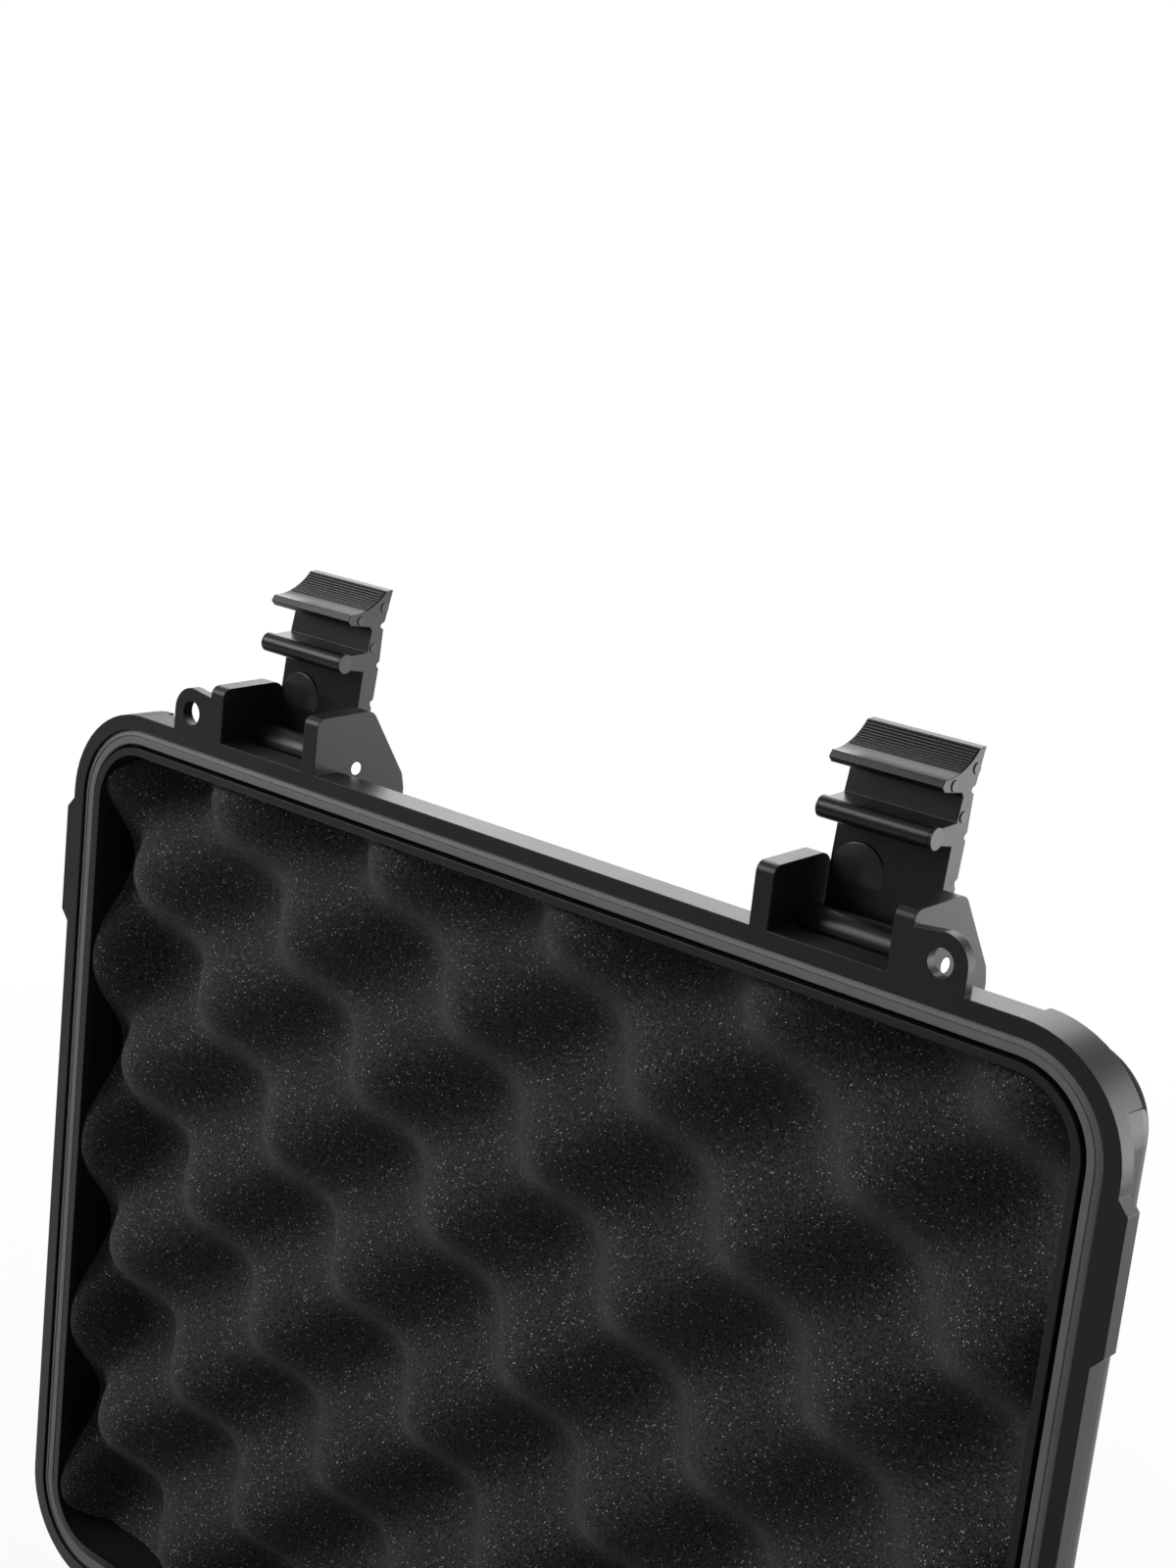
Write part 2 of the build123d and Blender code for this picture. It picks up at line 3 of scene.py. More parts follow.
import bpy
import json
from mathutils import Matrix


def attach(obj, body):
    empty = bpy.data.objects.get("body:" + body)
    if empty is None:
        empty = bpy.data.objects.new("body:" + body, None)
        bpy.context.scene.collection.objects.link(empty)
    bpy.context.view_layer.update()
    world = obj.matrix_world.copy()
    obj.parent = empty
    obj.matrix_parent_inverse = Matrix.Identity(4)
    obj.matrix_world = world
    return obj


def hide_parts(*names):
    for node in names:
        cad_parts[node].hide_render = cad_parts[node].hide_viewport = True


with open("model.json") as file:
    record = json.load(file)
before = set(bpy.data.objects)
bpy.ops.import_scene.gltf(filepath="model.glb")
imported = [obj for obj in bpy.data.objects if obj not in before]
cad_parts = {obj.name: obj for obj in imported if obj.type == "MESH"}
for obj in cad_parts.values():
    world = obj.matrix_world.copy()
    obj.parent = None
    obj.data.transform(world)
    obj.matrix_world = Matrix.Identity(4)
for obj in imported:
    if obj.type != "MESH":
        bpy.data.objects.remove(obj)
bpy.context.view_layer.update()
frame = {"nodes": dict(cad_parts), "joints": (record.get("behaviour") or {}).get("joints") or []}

import json
import math

import bmesh
import bpy
from bpy.props import FloatProperty, FloatVectorProperty, IntProperty, PointerProperty
from mathutils import Matrix, Vector

bl_info = {
    "name": "Magnet case looks",
    "version": (1, 0, 0),
    "blender": (4, 5, 0),
    "location": "3D View > Sidebar > Magnet case",
    "description": "Finishes, foams, seal and stage for an open magnet case",
    "category": "Object",
}

MM = 0.001
JOINTS = {joint["name"]: joint for joint in frame["joints"]}
HINGE = Vector(JOINTS["lid_hinge"]["pos_m"])
OPEN_ANGLE = math.radians(JOINTS["lid_hinge"]["range_deg"][1])
RIM_D = 270 * MM
RIM_W = 340 * MM
RIM_R = 27.6 * MM
MOUTH_IN = 11.4 * MM         # lid's opening, inwards from the rim's edge
CAVITY = 32 * MM             # the lid's inner depth, below its rim face
SHADE_TOP = 2.5 * MM         # the lid's inner walls are painted in shade below this
FOAM_IN = 12.2 * MM          # lid foam, inwards from the rim's edge
FOAM_LEFT = 0.4 * MM         # and how far it sits to the left
FOAM_BACK = -24.4 * MM
EDGE_PEAK = -0.8 * MM        # bumps and hollows of the foam at the left wall
EDGE_FALL = 13 * MM
HINGE_BACK = 6 * MM          # hinge line behind the rim
HINGE_DROP = 4 * MM          # and below the lid's rim face
LATCH_X = 92.75 * MM
LATCH_W = 30 * MM
BAR_V = 27.3 * MM            # hook bar's middle on the open latch
BAR_W = -13.7 * MM
BAR_R = 2.6 * MM
BAR_CAP = 0.7 * MM
EJECTOR_MARKS = ((41.6 * MM, -26.4 * MM), (38.5 * MM, -18.3 * MM), (30.9 * MM, -23.6 * MM))
MARK_DEPTH = 0.5 * MM
STEM_MARK = (-7.4 * MM, 12.8 * MM, -19.56 * MM)
STEM_MARK_R = 7.2 * MM
THUMB_ARC = ((40.2 * MM, -14.4 * MM), (41.9 * MM, -21.6 * MM), (45.9 * MM, -26.6 * MM))
# The seal's cut face: inwards from the rim's edge, and out of the rim face, in millimetres
SEAL_CUT = (
    (4.2, -3.1), (4.2, -0.95), (5.8, -0.3), (5.95, -0.62), (6.15, -0.62), (6.3, -0.34),
    (8.05, -0.42), (8.3, -0.7), (8.3, -3.1))


def arc_through(first, middle, last):
    """Centre, radius and last point's direction of the circle through three points."""
    (ax, ay), (bx, by), (cx, cy) = first, middle, last
    twice = 2 * (ax * (by - cy) + bx * (cy - ay) + cx * (ay - by))
    a, b, c = ax * ax + ay * ay, bx * bx + by * by, cx * cx + cy * cy
    x = (a * (by - cy) + b * (cy - ay) + c * (ay - by)) / twice
    y = (a * (cx - bx) + b * (ax - cx) + c * (bx - ax)) / twice
    return x, y, math.hypot(cx - x, cy - y), math.atan2(cy - y, cx - x)


# The dished face of the thumb lip, as a circle in the latch's side view
THUMB_V, THUMB_W, THUMB_R, THUMB_TIP = arc_through(*THUMB_ARC)


def lid_matrix():
    """Takes lid places (right, outwards from the front edge, out of the rim face) to the room."""
    lean = OPEN_ANGLE - math.pi / 2
    out = Vector((0, math.sin(lean), math.cos(lean)))
    face = Vector((0, -math.cos(lean), math.sin(lean)))
    corner = HINGE + out * (RIM_D + HINGE_BACK) - face * HINGE_DROP
    turn = Matrix((Vector((1, 0, 0)), out, face)).transposed().to_4x4()
    return Matrix.Translation(corner) @ turn


LID = lid_matrix()


class CameraPlace(bpy.types.PropertyGroup):
    eye: FloatVectorProperty(
        name="Eye", description="Camera place: right, above the lid's front edge, out of its rim face",
        default=(0.3734, 0.1522, 0.4214), unit="LENGTH")
    look: FloatVectorProperty(
        name="Look", description="Viewing direction in the same three directions",
        default=(-0.62390774, -0.23380641, -0.74570349))
    lens: FloatProperty(name="Lens", description="Focal length on a 36 mm sensor", default=55.575)


class PlasticLook(bpy.types.PropertyGroup):
    colour: FloatVectorProperty(
        name="Colour", description="Black of the moulded shells", subtype="COLOR",
        default=(0.0080, 0.0080, 0.0085))
    roughness: FloatProperty(name="Roughness", description="Satin of the shells", default=0.36)
    gloss: FloatProperty(name="Gloss", description="How strongly the plastic reflects", default=0.24)
    grain: FloatProperty(
        name="Grain", description="Size of the mould texture", default=0.00045, unit="LENGTH")
    edge: FloatProperty(
        name="Edge", description="Softness of moulded edges", default=0.0004, unit="LENGTH")


class FoamLook(bpy.types.PropertyGroup):
    colour: FloatVectorProperty(
        name="Colour", description="Charcoal of the foams", subtype="COLOR",
        default=(0.0185, 0.0185, 0.019))
    cell: FloatProperty(name="Cell", description="Size of a foam cell", default=0.00042, unit="LENGTH")
    pitch_u: FloatProperty(
        name="Pitch across", description="Peak to peak, across", default=0.0621, unit="LENGTH")
    pitch_v: FloatProperty(
        name="Pitch down", description="Peak to peak, downwards", default=0.057, unit="LENGTH")
    middle: FloatProperty(
        name="Middle", description="Mean level below the rim face", default=-0.0119, unit="LENGTH")
    swing: FloatProperty(
        name="Swing", description="Half the height of the waves", default=0.0113, unit="LENGTH")
    peak_u: FloatProperty(
        name="Peak across", description="Place of one peak", default=-0.1074, unit="LENGTH")
    peak_v: FloatProperty(
        name="Peak down", description="Place of one peak", default=-0.0176, unit="LENGTH")
    lift: FloatProperty(
        name="Lift", description="Left of this line the foam climbs to the lid's lip",
        default=-0.146, unit="LENGTH")
    rows: IntProperty(name="Rows", description="Cells of the surface along the rim", default=300)


class SealLook(bpy.types.PropertyGroup):
    colour: FloatVectorProperty(
        name="Colour", description="Grey of the rubber seal", subtype="COLOR",
        default=(0.10, 0.10, 0.10))
    inset: FloatProperty(
        name="Inset", description="Middle of the seal, inwards from the rim's edge",
        default=0.0062, unit="LENGTH")


class LatchMarks(bpy.types.PropertyGroup):
    ridges: IntProperty(name="Ridges", description="Grip ridges on the thumb lip", default=10)
    pitch: FloatProperty(
        name="Pitch", description="From ridge to ridge", default=0.00085, unit="LENGTH")
    ridge: FloatProperty(name="Ridge", description="Radius of a ridge", default=0.00032, unit="LENGTH")
    dimple: FloatProperty(
        name="Dimple", description="Radius of an ejector mark", default=0.0014, unit="LENGTH")


class StageLook(bpy.types.PropertyGroup):
    floor_colour: FloatVectorProperty(
        name="Floor", description="Pale floor", subtype="COLOR", default=(0.60, 0.60, 0.60))
    key: FloatProperty(name="Key", description="Lamp above and to the left, in watts", default=12.0)
    side: FloatProperty(
        name="Side", description="Lamp low behind the right side, in watts", default=6.0)
    back: FloatProperty(name="Back", description="Lamp behind the lid, in watts", default=10.0)
    fill: FloatProperty(name="Fill", description="Soft light from the front", default=0.28)
    back_fill: FloatProperty(name="Back fill", description="Soft light from behind", default=0.85)


class Value:
    """A shader socket that takes part in sums."""

    def __init__(self, finish, socket):
        self.finish = finish
        self.socket = socket

    def sum(self, operation, first, second):
        node = self.finish.node("ShaderNodeMath", {"operation": operation}, {0: first, 1: second})
        return self.finish.value(node, 0)

    def __add__(self, other):
        return self.sum("ADD", self, other)

    def __radd__(self, other):
        return self.sum("ADD", other, self)

    def __sub__(self, other):
        return self.sum("SUBTRACT", self, other)

    def __rsub__(self, other):
        return self.sum("SUBTRACT", other, self)

    def __mul__(self, other):
        return self.sum("MULTIPLY", self, other)

    def __rmul__(self, other):
        return self.sum("MULTIPLY", other, self)

    def __gt__(self, other):
        return self.sum("GREATER_THAN", self, other)

    def __lt__(self, other):
        return self.sum("LESS_THAN", self, other)


class Finish:
    """One node material."""

    def __init__(self, name):
        self.material = bpy.data.materials.new(name)
        self.material.use_nodes = True
        self.tree = self.material.node_tree
        self.shader = self.tree.nodes["Principled BSDF"]
        self.places = self.value(self.node("ShaderNodeTexCoord"), "Object")

    def node(self, kind, settings=None, values=None):
        made = self.tree.nodes.new(kind)
        for key, setting in (settings or {}).items():
            setattr(made, key, setting)
        self.feed(made, values or {})
        return made

    def feed(self, node, values):
        for key, given in values.items():
            if isinstance(given, Value):
                self.tree.links.new(given.socket, node.inputs[key])
            else:
                node.inputs[key].default_value = given

    def value(self, node, key):
        return Value(self, node.outputs[key])

    def set(self, **values):
        named = {key.replace("_", " "): given for key, given in values.items()}
        self.feed(self.shader, named)

    def noise(self, size, detail=2.0, roughness=0.5):
        node = self.node("ShaderNodeTexNoise", None, {
            "Vector": self.places, "Scale": 1 / size, "Detail": detail, "Roughness": roughness})
        return self.value(node, "Fac")

    def cells(self, size, key="Distance"):
        node = self.node("ShaderNodeTexVoronoi", None, {"Vector": self.places, "Scale": 1 / size})
        return self.value(node, key)

    def cell_draw(self, size, channel):
        """One steady random number for each cell."""
        parts = self.node("ShaderNodeSeparateColor", None, {0: self.cells(size, "Color")})
        return self.value(parts, channel)

    def ramp(self, factor, low, high, start=0.0, end=1.0):
        node = self.node("ShaderNodeMapRange", {"clamp": True}, {
            "Value": factor, "From Min": low, "From Max": high, "To Min": start, "To Max": end})
        return self.value(node, "Result")

    def blend(self, factor, first, second):
        node = self.node("ShaderNodeMix", {"data_type": "RGBA"}, {0: factor, 6: first, 7: second})
        return self.value(node, 2)

    def bump(self, height, strength, distance, normal=None):
        values = {"Height": height, "Strength": strength, "Distance": distance}
        if normal is not None:
            values["Normal"] = normal
        return self.value(self.node("ShaderNodeBump", None, values), "Normal")

    def soft_edge(self, radius):
        node = self.node("ShaderNodeBevel", {"samples": 6}, {"Radius": radius})
        return self.value(node, "Normal")


def rgba(colour, gain=1.0):
    return (colour[0] * gain, colour[1] * gain, colour[2] * gain, 1.0)


def cavity_shade_mask(finish):
    """Mask of painted shade: 1 on the walls inside the lid, where little light comes past the foam, and
    0 elsewhere.
    """
    offset = finish.node("ShaderNodeVectorMath", {"operation": "SUBTRACT"}, {
        0: finish.places, 1: LID.to_translation()})
    inside = 1.0
    wall = MOUTH_IN - 1 * MM
    spans = ((wall - RIM_W / 2, RIM_W / 2 - wall), (wall - RIM_D, -wall), (-CAVITY, -SHADE_TOP))
    for axis, (low, high) in enumerate(spans):
        along = finish.value(finish.node("ShaderNodeVectorMath", {"operation": "DOT_PRODUCT"}, {
            0: finish.value(offset, "Vector"), 1: LID.to_3x3().col[axis]}), "Value")
        inside = (along > low) * (along < high) * inside
    return inside


def moulded_plastic(name, look, roughness, grain_depth, gain=1.0, edge_gain=1.0, painted_shade=False):
    """Black moulded plastic: faint grain, slightly uneven gloss, softened edges, and on request painted
    shade on the lid's inner walls.
    """
    finish = Finish(name)
    cloud = finish.noise(0.035, 3.0)
    grain = finish.noise(look.grain, 2.0)
    scuffs = finish.ramp(finish.noise(0.006, 4.0, 0.7), 0.60, 0.80)
    colour = finish.blend(cloud, rgba(look.colour, 0.85 * gain), rgba(look.colour, 1.2 * gain))
    colour = finish.blend(scuffs * 0.25, colour, rgba(look.colour, 2.2 * gain))
    rough = roughness + (cloud - 0.5) * 0.10 + scuffs * 0.06
    if painted_shade:
        # Painted shade: the lid's inner walls are painted almost black and made rougher, standing in
        # for the shade past the foam.
        inside = cavity_shade_mask(finish)
        colour = finish.blend(inside * 0.9, colour, (0.0004, 0.0004, 0.0004, 1.0))
        rough = rough + inside * 0.55
    finish.set(Base_Color=colour, Roughness=rough)
    edge = finish.soft_edge(look.edge * edge_gain)
    finish.set(Normal=finish.bump(grain, 0.35, grain_depth, edge))
    finish.shader.inputs["Specular IOR Level"].default_value = look.gloss
    return finish.material


def foam_finish(name, look):
    """Open-cell charcoal foam: pitted cells with painted shade at their sunken borders, and a few
    bright cell walls painted on as highlights where they would catch the light.
    """
    finish = Finish(name)
    pits = finish.cells(look.cell)
    fine = finish.noise(look.cell * 0.5, 3.0, 0.65)
    cloud = finish.noise(0.02, 2.0)
    mottle = finish.ramp(finish.noise(look.cell * 1.8, 2.0, 0.7), 0.40, 0.62)
    shade = finish.cell_draw(look.cell * 1.2, 0)
    pick = finish.cell_draw(look.cell * 0.62, 1)
    # Painted highlights: random cells are painted bright, as cell walls that would catch the light; the
    # brightest are also made glossier.
    painted_spark = pick > 0.988
    painted_glint = finish.ramp(pick, 0.80, 0.985)
    # Painted shade and light: cells are painted dark at their sunken borders and light at their raised
    # middles, following the bump below.
    colour = finish.blend(finish.ramp(pits, 0.1, 0.65), rgba(look.colour, 1.5), rgba(look.colour, 0.4))
    colour = finish.blend(finish.ramp(shade, 0.15, 0.85, 0.0, 0.85), colour, rgba(look.colour, 0.08))
    colour = finish.blend(cloud * 0.25, colour, rgba(look.colour, 1.3))
    colour = finish.blend(mottle * 0.7, colour, rgba(look.colour, 2.6))
    colour = finish.blend(painted_glint * 0.30, colour, (0.13, 0.13, 0.13, 1.0))
    colour = finish.blend(painted_spark * 0.9, colour, (0.42, 0.42, 0.42, 1.0))
    height = fine * 0.6 - pits
    finish.set(Base_Color=colour, Roughness=0.9 - painted_spark * 0.45)
    finish.set(Normal=finish.bump(height, 0.85, look.cell * 0.7))
    finish.shader.inputs["Specular IOR Level"].default_value = 0.22
    finish.shader.inputs["Sheen Weight"].default_value = 0.08
    finish.shader.inputs["Sheen Roughness"].default_value = 0.35
    return finish.material


def rubber_finish(name, colour, roughness=0.6):
    finish = Finish(name)
    cloud = finish.noise(0.012, 3.0)
    dust = finish.ramp(finish.noise(0.0016, 3.0, 0.7), 0.55, 0.8)
    shade = finish.blend(cloud, rgba(colour, 0.85), rgba(colour, 1.15))
    shade = finish.blend(dust * 0.2, shade, rgba(colour, 2.0))
    finish.set(Base_Color=shade, Roughness=roughness + (cloud - 0.5) * 0.15)
    finish.set(Normal=finish.bump(finish.noise(0.0005), 0.2, 0.00004, finish.soft_edge(0.0003)))
    return finish.material


def steel_finish(name):
    finish = Finish(name)
    streak = finish.noise(0.0008, 3.0)
    finish.set(Base_Color=finish.blend(streak, (0.55, 0.55, 0.54, 1), (0.72, 0.72, 0.70, 1)),
               Roughness=0.22 + streak * 0.16, Metallic=1.0)
    finish.set(Normal=finish.soft_edge(0.0003))
    return finish.material


def cad_finish(node, material):
    """A CAD piece whose shape is right gets its finish."""
    piece = frame["nodes"][node]
    piece.data.materials.clear()
    piece.data.materials.append(material)


def seat(piece, body, slot, *nodes):
    """Puts a finished piece on its body, and lets it stand for CAD nodes."""
    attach(piece, body)
    if nodes:
        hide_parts(*nodes)


def show(name, mesh):
    piece = bpy.data.objects.new(name, mesh)
    bpy.context.scene.collection.objects.link(piece)
    return piece


def smooth_by_angle(mesh, degrees=35.0):
    mesh.shade_smooth()
    mesh.set_sharp_from_angle(angle=math.radians(degrees))


class Tree:
    """A Geometry Nodes tree built in code, with named inputs."""

    def __init__(self, name, inputs):
        self.group = bpy.data.node_groups.new(name, "GeometryNodeTree")
        self.group.interface.new_socket("Geometry", in_out="OUTPUT", socket_type="NodeSocketGeometry")
        self.names = {}
        self.given = {}
        for label, (kind, value) in inputs.items():
            socket = self.group.interface.new_socket(label, in_out="INPUT", socket_type=kind)
            self.names[label] = socket.identifier
            self.given[label] = value
        self.start = self.group.nodes.new("NodeGroupInput")
        self.end = self.group.nodes.new("NodeGroupOutput")

    def node(self, kind, settings=None, values=None):
        made = self.group.nodes.new(kind)
        for key, setting in (settings or {}).items():
            setattr(made, key, setting)
        for key, given in (values or {}).items():
            if isinstance(given, bpy.types.NodeSocket):
                self.group.links.new(given, made.inputs[key])
            else:
                made.inputs[key].default_value = given
        return made

    def math(self, operation, first, second=0.0):
        return self.node("ShaderNodeMath", {"operation": operation}, {0: first, 1: second}).outputs[0]

    def input(self, label):
        return self.start.outputs[label]

    def finish(self, geometry, material):
        real = self.node("GeometryNodeRealizeInstances", None, {0: geometry})
        paint = self.node("GeometryNodeSetMaterial", None, {0: real.outputs[0]})
        paint.inputs["Material"].default_value = material
        self.group.links.new(paint.outputs[0], self.end.inputs[0])

    def mesh(self, name):
        """The tree's result as a plain mesh."""
        holder = show(name + "_holder", bpy.data.meshes.new(name + "_empty"))
        modifier = holder.modifiers.new("shape", "NODES")
        modifier.node_group = self.group
        for label, identifier in self.names.items():
            modifier[identifier] = self.given[label]
        graph = bpy.context.evaluated_depsgraph_get()
        graph.update()
        mesh = bpy.data.meshes.new_from_object(holder.evaluated_get(graph))
        mesh.name = name
        holder.modifiers.remove(modifier)
        bpy.data.objects.remove(holder)
        return mesh


class CASE_OT_stage(bpy.types.Operator):
    """Make the pale floor, the lamps and the white surround"""
    bl_idname = "magnet_case.stage"
    bl_label = "Stage"

    def execute(self, context):
        look = context.scene.stage_look
        self.floor(look)
        self.surround(look)
        middle = (0.0, 0.17, 0.28)
        self.lamp("key_lamp", look.key, (-0.80, -0.50, 1.10), middle, 0.7)
        self.lamp("side_lamp", look.side, (0.60, 0.85, 0.22), (0.15, 0.19, 0.3), 0.7)
        self.lamp("back_lamp", look.back, (-0.50, 1.15, 0.85), middle, 1.1)
        context.scene.view_settings.view_transform = "Standard"
        return {"FINISHED"}

    def floor(self, look):
        mesh = bpy.data.meshes.new("floor")
        half = 6.0
        corners = [(-half, -half, 0), (half, -half, 0), (half, half, 0), (-half, half, 0)]
        mesh.from_pydata(corners, [], [(0, 1, 2, 3)])
        finish = Finish("pale_floor")
        haze = finish.noise(0.4, 2.0)
        pale = finish.blend(haze, rgba(look.floor_colour, 0.97), rgba(look.floor_colour))
        finish.set(Base_Color=pale, Roughness=0.9)
        self.whiten(finish)
        mesh.materials.append(finish.material)
        show("floor", mesh)

    def whiten(self, finish):
        """Seen or mirrored, the floor is white paper with the object's shadow, less so in front."""
        rays = finish.node("ShaderNodeLightPath")
        seen = finish.value(rays, "Is Camera Ray") + finish.value(rays, "Is Transmission Ray")
        parts = finish.node("ShaderNodeSeparateXYZ", None, {0: finish.places})
        behind = finish.ramp(finish.value(parts, "Y"), -0.6, 0.3, 0.25, 1.0)
        seen = seen + finish.value(rays, "Is Glossy Ray") * behind
        reach = finish.node("ShaderNodeVectorMath", {"operation": "LENGTH"}, {0: finish.places})
        away = finish.value(reach, "Value")
        share = seen * finish.ramp(away, 0.25, 0.9, 0.72, 1.0)
        paper = finish.node("ShaderNodeEmission", None, {"Color": (1, 1, 1, 1), "Strength": 1.0})
        mix = finish.node("ShaderNodeMixShader", None, {0: share})
        finish.tree.links.new(finish.shader.outputs[0], mix.inputs[1])
        finish.tree.links.new(paper.outputs[0], mix.inputs[2])
        finish.tree.links.new(mix.outputs[0], finish.tree.nodes["Material Output"].inputs["Surface"])

    def surround(self, look):
        """White where the camera sees it; as light, brighter behind the case than before it."""
        world = bpy.data.worlds.new("white_surround")
        bpy.context.scene.world = world
        world.use_nodes = True
        tree = world.node_tree
        shade = tree.nodes["Background"]
        shade.inputs["Color"].default_value = (1, 1, 1, 1)
        place = tree.nodes.new("ShaderNodeTexCoord")
        parts = tree.nodes.new("ShaderNodeSeparateXYZ")
        tree.links.new(place.outputs["Generated"], parts.inputs[0])
        depth = tree.nodes.new("ShaderNodeMapRange")
        tree.links.new(parts.outputs["Y"], depth.inputs["Value"])
        depth.inputs["From Min"].default_value = -0.5
        depth.inputs["From Max"].default_value = 0.5
        depth.inputs["To Min"].default_value = look.fill
        depth.inputs["To Max"].default_value = look.back_fill
        path = tree.nodes.new("ShaderNodeLightPath")
        seen = tree.nodes.new("ShaderNodeMath")
        seen.operation = "MAXIMUM"
        tree.links.new(path.outputs["Is Camera Ray"], seen.inputs[0])
        tree.links.new(path.outputs["Is Transmission Ray"], seen.inputs[1])
        strength = tree.nodes.new("ShaderNodeMapRange")
        tree.links.new(seen.outputs[0], strength.inputs["Value"])
        tree.links.new(depth.outputs["Result"], strength.inputs["To Min"])
        strength.inputs["To Max"].default_value = 1.0
        tree.links.new(strength.outputs["Result"], shade.inputs["Strength"])

    def lamp(self, name, watts, place, target, size):
        data = bpy.data.lights.new(name, "AREA")
        data.energy = watts
        data.size = size
        lamp = bpy.data.objects.new(name, data)
        lamp.visible_camera = False
        lamp.location = place
        lamp.rotation_euler = (Vector(target) - Vector(place)).to_track_quat("-Z", "Y").to_euler()
        bpy.context.scene.collection.objects.link(lamp)


class CASE_OT_camera(bpy.types.Operator):
    """Set the camera where the picture was taken from"""
    bl_idname = "magnet_case.camera"
    bl_label = "Camera"

    def execute(self, context):
        place = context.scene.camera_place
        data = bpy.data.cameras.new("picture_camera")
        data.lens = place.lens
        data.clip_start = 0.01
        camera = bpy.data.objects.new("picture_camera", data)
        camera.location = LID @ Vector(place.eye)
        direction = LID.to_3x3() @ Vector(place.look)
        camera.rotation_euler = direction.to_track_quat("-Z", "Y").to_euler()
        context.scene.collection.objects.link(camera)
        context.scene.camera = camera
        return {"FINISHED"}


class CASE_OT_mouldings(bpy.types.Operator):
    """Give the moulded shells, latches, handle and valve their finish"""
    bl_idname = "magnet_case.mouldings"
    bl_label = "Mouldings and pins"

    def execute(self, context):
        look = context.scene.plastic_look
        shell = moulded_plastic("shell_plastic", look, look.roughness, 0.00004)
        # The lid's shell gets painted shade on its inner walls.
        lid = moulded_plastic("lid_plastic_painted_shade", look, look.roughness, 0.00004, painted_shade=True)
        latch = moulded_plastic("latch_plastic", look, look.roughness - 0.06, 0.000015, 0.9)
        valve = moulded_plastic("valve_plastic", look, look.roughness + 0.03, 0.00002, 1.3)
        steel = steel_finish("pin_steel")
        cad_finish("base_shell", shell)
        cad_finish("lid_shell", lid)
        for node in ("latch_left", "latch_right", "carry_handle"):
            cad_finish(node, latch)
        for node in ("valve_body", "valve_nut", "valve_knob"):
            cad_finish(node, valve)
        for node in frame["nodes"]:
            if "_pin_" in node:
                cad_finish(node, steel)
        cad_finish("valve_o_ring", rubber_finish("ring_rubber", (0.02, 0.02, 0.02)))
        cad_finish("handle_grip", rubber_finish("grip_rubber", (0.014, 0.014, 0.014), 0.7))
        return {"FINISHED"}


class CASE_OT_seal(bpy.types.Operator):
    """Make the rubber seal: one lip each side of a fine groove"""
    bl_idname = "magnet_case.seal"
    bl_label = "Seal"

    def execute(self, context):
        look = context.scene.seal_look
        tree = Tree("seal_ring", {
            "Width": ("NodeSocketFloat", RIM_W - 2 * look.inset),
            "Depth": ("NodeSocketFloat", RIM_D - 2 * look.inset),
            "Corner": ("NodeSocketFloat", RIM_R - look.inset),
            "Profile": ("NodeSocketObject", self.profile(look))})
        path = tree.node("GeometryNodeCurvePrimitiveQuadrilateral", None, {
            0: tree.input("Width"), 1: tree.input("Depth")})
        path = tree.node("GeometryNodeFilletCurve", {"mode": "POLY"}, {
            0: path.outputs[0], "Radius": tree.input("Corner"), "Count": 12})
        level = tree.node("GeometryNodeSetCurveNormal", {"mode": "Z_UP"}, {0: path.outputs[0]})
        shape = tree.node("GeometryNodeObjectInfo", None, {0: tree.input("Profile")})
        ring = tree.node("GeometryNodeCurveToMesh", None, {
            0: level.outputs[0], "Profile Curve": shape.outputs["Geometry"]})
        tree.finish(ring.outputs[0], rubber_finish("seal_rubber", look.colour))
        mesh = tree.mesh("rim_seal")
        bpy.data.objects.remove(tree.given["Profile"])
        mesh.transform(LID @ Matrix.Translation((0, -RIM_D / 2, 0)))
        smooth_by_angle(mesh, 20.0)
        seat(show("rim_seal", mesh), "lid", "gasket_rubber", "lid_gasket")
        return {"FINISHED"}

    def profile(self, look):
        """The cut face as a closed curve, about the seal's middle."""
        data = bpy.data.curves.new("seal_profile", "CURVE")
        data.dimensions = "2D"
        data.fill_mode = "NONE"
        spline = data.splines.new("POLY")
        spline.points.add(len(SEAL_CUT) - 1)
        for point, (inset, out) in zip(spline.points, reversed(SEAL_CUT)):
            point.co = (look.inset - inset * MM, -out * MM, 0, 1)
        spline.use_cyclic_u = True
        return show("seal_profile", data)


